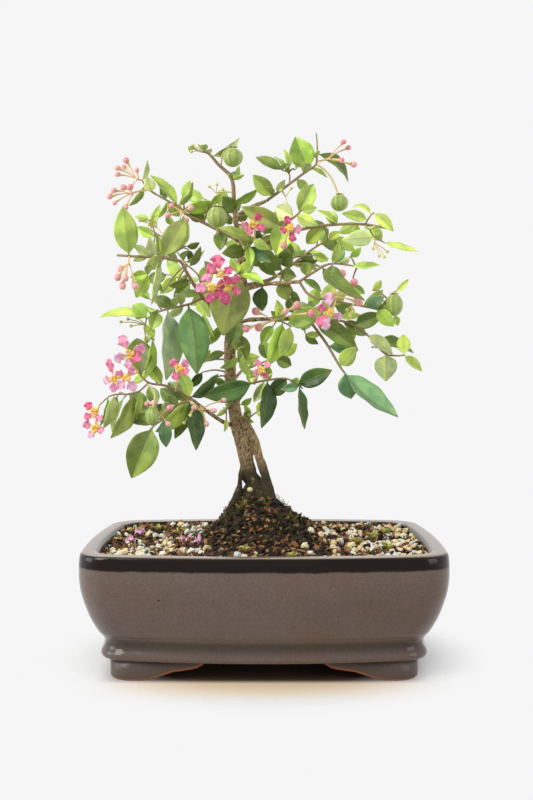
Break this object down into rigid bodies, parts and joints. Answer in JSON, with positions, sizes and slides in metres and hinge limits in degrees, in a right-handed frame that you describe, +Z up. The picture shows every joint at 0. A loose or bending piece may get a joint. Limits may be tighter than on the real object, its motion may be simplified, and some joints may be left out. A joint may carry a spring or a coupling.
{
  "type": "barbados cherry bonsai",
  "caption": "Small flowering bonsai tree with glossy leaves, pink blossoms and green fruit, growing from a mound of soil in a glazed oblong pot on bracket feet.",
  "frame": {"origin": "middle of the ground rectangle under the whole thing, at the height of the feet's undersides", "axes": "+Z up along the tree, -Y towards the viewer of the pot's long front, +X to that viewer's right"},
  "size_m": [0.1784, 0.1346, 0.2681],
  "materials": {
    "glaze": "glossy taupe ceramic glaze with fine dark specks, nearly black rim band",
    "soil": "dark moist soil mixed with pumice, bark chips and moss",
    "bark": "rough grey-brown bark with pale lenticels",
    "leaf": "satin green leaf, from lime to dark olive, glossy on the older leaves",
    "petal": "thin matt pink petals round yellow stamens",
    "bud": "salmon-pink round buds on salmon stalks",
    "fruit": "satin unripe green skin with pale ribs"
  },
  "bodies": {
    "root": {"pot": "glaze", "soil": "soil", "trunk": "bark", "top_fruit": "fruit", "left_fruit": "fruit", "top_right_fruit": "fruit", "right_fruit": "fruit", "low_fruit": "fruit", "main_blossom": "petal", "left_blossom": "petal", "far_left_blossom": "petal", "side_blossom": "petal", "right_blossom": "petal", "upper_blossom": "petal", "centre_blossom": "petal", "low_blossom": "petal", "top_left_buds": "bud", "far_left_buds": "bud", "upper_left_buds": "bud", "top_right_buds": "bud", "right_buds": "bud", "far_left_lower_buds": "bud", "centre_low_buds": "bud", "lower_left_buds": "bud", "near_left_buds": "bud", "apex_shoot": "leaf", "top_right_shoot": "leaf", "centre_right_shoot": "leaf", "right_limb_shoot": "leaf", "right_back_shoot": "leaf", "right_mid_shoot": "leaf", "right_mid_out_shoot": "leaf", "right_inner_shoot": "leaf", "right_low_shoot": "leaf", "right_low_out_shoot": "leaf", "heart_leaf_shoot": "leaf", "centre_shoot": "leaf", "trunk_mid_shoot": "leaf", "trunk_sprout": "leaf", "left_sprout": "leaf", "left_limb_shoot": "leaf", "left_low_shoot": "leaf", "left_back_shoot": "leaf", "top_left_shoot": "leaf", "top_back_shoot": "leaf", "back_limb_shoot": "leaf", "low_back_shoot": "leaf", "low_front_shoot": "leaf", "low_left_shoot": "leaf", "low_left_up_shoot": "leaf", "low_left_back_shoot": "leaf", "centre_low_shoot": "leaf", "right_low_back_shoot": "leaf"}
  },
  "joints": []
}
